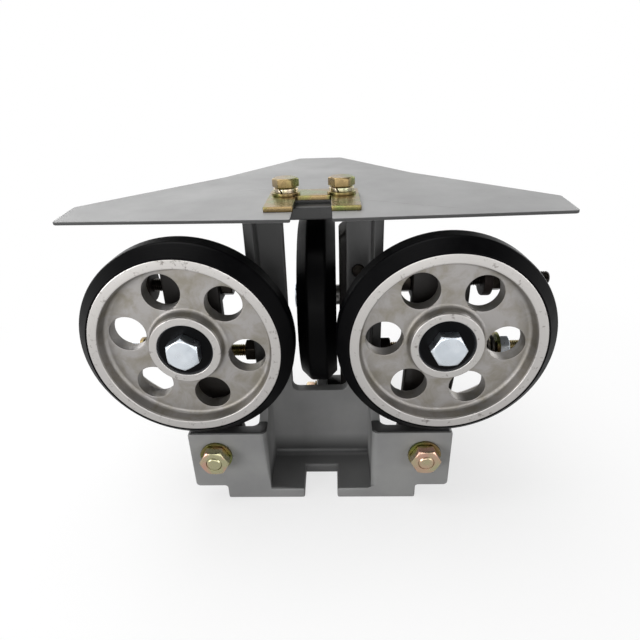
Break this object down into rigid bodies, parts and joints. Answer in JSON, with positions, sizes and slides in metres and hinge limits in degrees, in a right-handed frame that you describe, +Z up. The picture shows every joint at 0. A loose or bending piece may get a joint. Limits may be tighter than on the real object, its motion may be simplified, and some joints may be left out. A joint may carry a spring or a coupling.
{
  "type": "elevator roller guide shoe",
  "caption": "Spring-loaded roller guide shoe: rubber-tyred side rollers and a nose roller on swing arms in a slotted cast frame, under a sheet dust cover with a rail notch.",
  "frame": {"origin": "centre of the four mounting holes, on the underside of the base plate", "axes": "+Z up along the rail, -Y towards the rail, X across the rail's blade"},
  "size_m": [0.2886, 0.2334, 0.2075],
  "materials": {
    "frame_paint": "grey paint on a casting",
    "cover_sheet": "satin grey",
    "yellow_zinc": "yellow passivated zinc plating",
    "white_zinc": "bright zinc plating",
    "black_steel": "black oxide",
    "bright_steel": "turned steel",
    "spring_steel": "oiled spring steel",
    "arm_paint": "black paint on a casting",
    "bronze": "turned bronze",
    "cast_aluminium": "sand cast, machined rim and boss",
    "tyre_rubber": "moulded rubber",
    "bearing_seal": "bearing with black rubber seals"
  },
  "bodies": {
    "frame": {"base_frame": "frame_paint", "dust_cover": "cover_sheet", "retainer_plate": "yellow_zinc", "cover_bolts": "yellow_zinc", "cover_spring_washers": "yellow_zinc", "cover_washers": "yellow_zinc", "left_pivot_bolt": "yellow_zinc", "right_pivot_bolt": "yellow_zinc", "nose_pivot_bolt": "yellow_zinc", "pivot_nuts": "yellow_zinc", "pivot_washers": "yellow_zinc", "pivot_head_washers": "yellow_zinc", "pivot_sleeves": "bright_steel", "left_spring_rod": "yellow_zinc", "right_spring_rod": "yellow_zinc", "nose_spring_rod": "yellow_zinc", "left_stop_rod": "black_steel", "right_stop_rod": "black_steel", "nose_stop_rod": "black_steel", "rod_anchor_nuts": "black_steel", "stop_nuts": "black_steel", "stop_buffers": "tyre_rubber", "spring_nuts": "white_zinc", "spring_end_washers": "yellow_zinc", "left_spring": "spring_steel", "right_spring": "spring_steel", "nose_spring": "spring_steel"},
    "left_arm": {"left_arm": "arm_paint", "left_arm_bush": "bronze", "left_axle_bolt": "white_zinc", "left_axle_spacer": "bright_steel", "left_axle_washer": "white_zinc", "left_axle_nut": "white_zinc", "left_bearing_inner_rings": "bright_steel", "left_spring_seat": "yellow_zinc"},
    "left_roller": {"left_hub": "cast_aluminium", "left_tyre": "tyre_rubber", "left_bearings": "bearing_seal"},
    "right_arm": {"right_arm": "arm_paint", "right_arm_bush": "bronze", "right_axle_bolt": "white_zinc", "right_axle_spacer": "bright_steel", "right_axle_washer": "white_zinc", "right_axle_nut": "white_zinc", "right_bearing_inner_rings": "bright_steel", "right_spring_seat": "yellow_zinc"},
    "right_roller": {"right_hub": "cast_aluminium", "right_tyre": "tyre_rubber", "right_bearings": "bearing_seal"},
    "nose_arm": {"nose_arm": "arm_paint", "nose_arm_bush": "bronze", "nose_axle_bolt": "white_zinc", "nose_axle_spacer": "bright_steel", "nose_axle_washer": "white_zinc", "nose_axle_nut": "white_zinc", "nose_bearing_inner_rings": "bright_steel", "nose_spring_seat": "yellow_zinc"},
    "nose_roller": {"nose_hub": "cast_aluminium", "nose_tyre": "tyre_rubber", "nose_bearings": "bearing_seal"}
  },
  "joints": [
    {"name": "left_arm_swing", "type": "hinge", "parent": "frame", "child": "left_arm", "pos_m": [-0.068, -0.0335, 0.0385], "axis": [0, -1, 0], "range_deg": [0, 3.5], "stiffness_Nm_per_rad": 80, "springref_deg": -4.01, "deforming": ["left_spring"]},
    {"name": "right_arm_swing", "type": "hinge", "parent": "frame", "child": "right_arm", "pos_m": [0.068, -0.0335, 0.0385], "axis": [0, 1, 0], "range_deg": [0, 3.5], "stiffness_Nm_per_rad": 80, "springref_deg": -4.01, "deforming": ["right_spring"]},
    {"name": "nose_arm_swing", "type": "hinge", "parent": "frame", "child": "nose_arm", "pos_m": [0, 0.0411, 0.032], "axis": [-1, 0, 0], "range_deg": [0, 3.5], "stiffness_Nm_per_rad": 80, "springref_deg": -4.01, "deforming": ["nose_spring"]},
    {"name": "left_roller_spin", "type": "hinge", "parent": "left_arm", "child": "left_roller", "pos_m": [-0.0744, -0.0335, 0.1225], "axis": [0, 1, 0], "continuous": true},
    {"name": "right_roller_spin", "type": "hinge", "parent": "right_arm", "child": "right_roller", "pos_m": [0.0744, -0.0335, 0.1225], "axis": [0, 1, 0], "continuous": true},
    {"name": "nose_roller_spin", "type": "hinge", "parent": "nose_arm", "child": "nose_roller", "pos_m": [0, 0.0475, 0.116], "axis": [1, 0, 0], "continuous": true}
  ]
}
